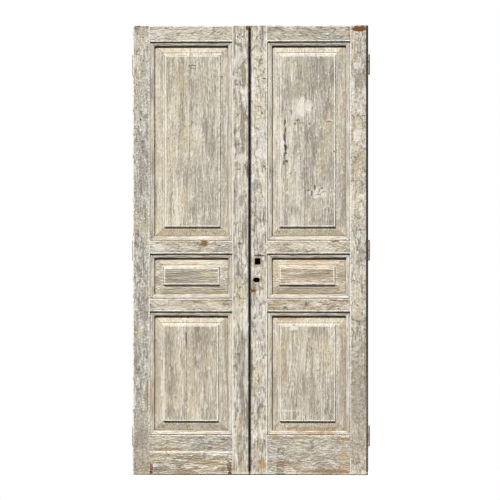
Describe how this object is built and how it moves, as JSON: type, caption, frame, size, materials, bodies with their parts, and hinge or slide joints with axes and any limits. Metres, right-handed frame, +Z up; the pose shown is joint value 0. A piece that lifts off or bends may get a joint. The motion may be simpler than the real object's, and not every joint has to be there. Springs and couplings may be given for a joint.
{
  "type": "french doors",
  "caption": "Pair of tall panelled wooden door leaves in worn pale paint, hung to swing apart on butt hinges.",
  "frame": {"origin": "under the middle of the closed pair, level with the foot of the leaves, halfway through the depth from the front faces to the back of the hinge knuckles", "axes": "+X across the pair to the viewer's right, +Y from the moulded front to the back, +Z up the height"},
  "size_m": [1.221, 0.0564, 2.29],
  "materials": {
    "painted_frame": "worn whitewash, matt, chipped to bare wood at edges",
    "painted_panels": "worn whitewash, matt, streaked along the grain",
    "painted_mouldings": "worn whitewash, matt, dirt in the hollows",
    "peg_oak": "dark end grain",
    "hinge_iron": "dull, rusty"
  },
  "bodies": {
    "jamb_hinges": {"left_hinge_jamb_plates": "hinge_iron", "left_hinge_pins": "hinge_iron", "right_hinge_jamb_plates": "hinge_iron", "right_hinge_pins": "hinge_iron"},
    "left_leaf": {"left_hinge_stile": "painted_frame", "left_meeting_stile": "painted_frame", "left_top_rail": "painted_frame", "left_upper_cross_rail": "painted_frame", "left_lower_cross_rail": "painted_frame", "left_bottom_rail": "painted_frame", "left_base_board": "painted_frame", "left_upper_panel_hinge_board": "painted_panels", "left_upper_panel_meeting_board": "painted_panels", "left_middle_panel": "painted_panels", "left_lower_panel_hinge_board": "painted_panels", "left_lower_panel_meeting_board": "painted_panels", "left_upper_moulding_top": "painted_mouldings", "left_upper_moulding_bottom": "painted_mouldings", "left_upper_moulding_hinge_side": "painted_mouldings", "left_upper_moulding_meeting_side": "painted_mouldings", "left_middle_moulding_top": "painted_mouldings", "left_middle_moulding_bottom": "painted_mouldings", "left_middle_moulding_hinge_side": "painted_mouldings", "left_middle_moulding_meeting_side": "painted_mouldings", "left_lower_moulding_top": "painted_mouldings", "left_lower_moulding_bottom": "painted_mouldings", "left_lower_moulding_hinge_side": "painted_mouldings", "left_lower_moulding_meeting_side": "painted_mouldings", "left_pegs": "peg_oak", "left_hinge_leaf_plates": "hinge_iron", "left_hinge_screws": "hinge_iron"},
    "right_leaf": {"right_hinge_stile": "painted_frame", "right_meeting_stile": "painted_frame", "right_top_rail": "painted_frame", "right_upper_cross_rail": "painted_frame", "right_lower_cross_rail": "painted_frame", "right_bottom_rail": "painted_frame", "right_upper_panel_hinge_board": "painted_panels", "right_upper_panel_meeting_board": "painted_panels", "right_middle_panel": "painted_panels", "right_lower_panel": "painted_panels", "right_upper_moulding_top": "painted_mouldings", "right_upper_moulding_bottom": "painted_mouldings", "right_upper_moulding_hinge_side": "painted_mouldings", "right_upper_moulding_meeting_side": "painted_mouldings", "right_middle_moulding_top": "painted_mouldings", "right_middle_moulding_bottom": "painted_mouldings", "right_middle_moulding_hinge_side": "painted_mouldings", "right_middle_moulding_meeting_side": "painted_mouldings", "right_lower_moulding_top": "painted_mouldings", "right_lower_moulding_bottom": "painted_mouldings", "right_lower_moulding_hinge_side": "painted_mouldings", "right_lower_moulding_meeting_side": "painted_mouldings", "right_pegs": "peg_oak", "right_hinge_leaf_plates": "hinge_iron", "right_hinge_screws": "hinge_iron"}
  },
  "joints": [
    {"name": "left_swing", "type": "hinge", "parent": "jamb_hinges", "child": "left_leaf", "pos_m": [-0.60452, 0.02225, 1.145], "axis": [0, 0, 1], "range_deg": [0, 110]},
    {"name": "right_swing", "type": "hinge", "parent": "jamb_hinges", "child": "right_leaf", "pos_m": [0.60452, 0.02225, 1.145], "axis": [0, 0, -1], "range_deg": [0, 110]}
  ]
}
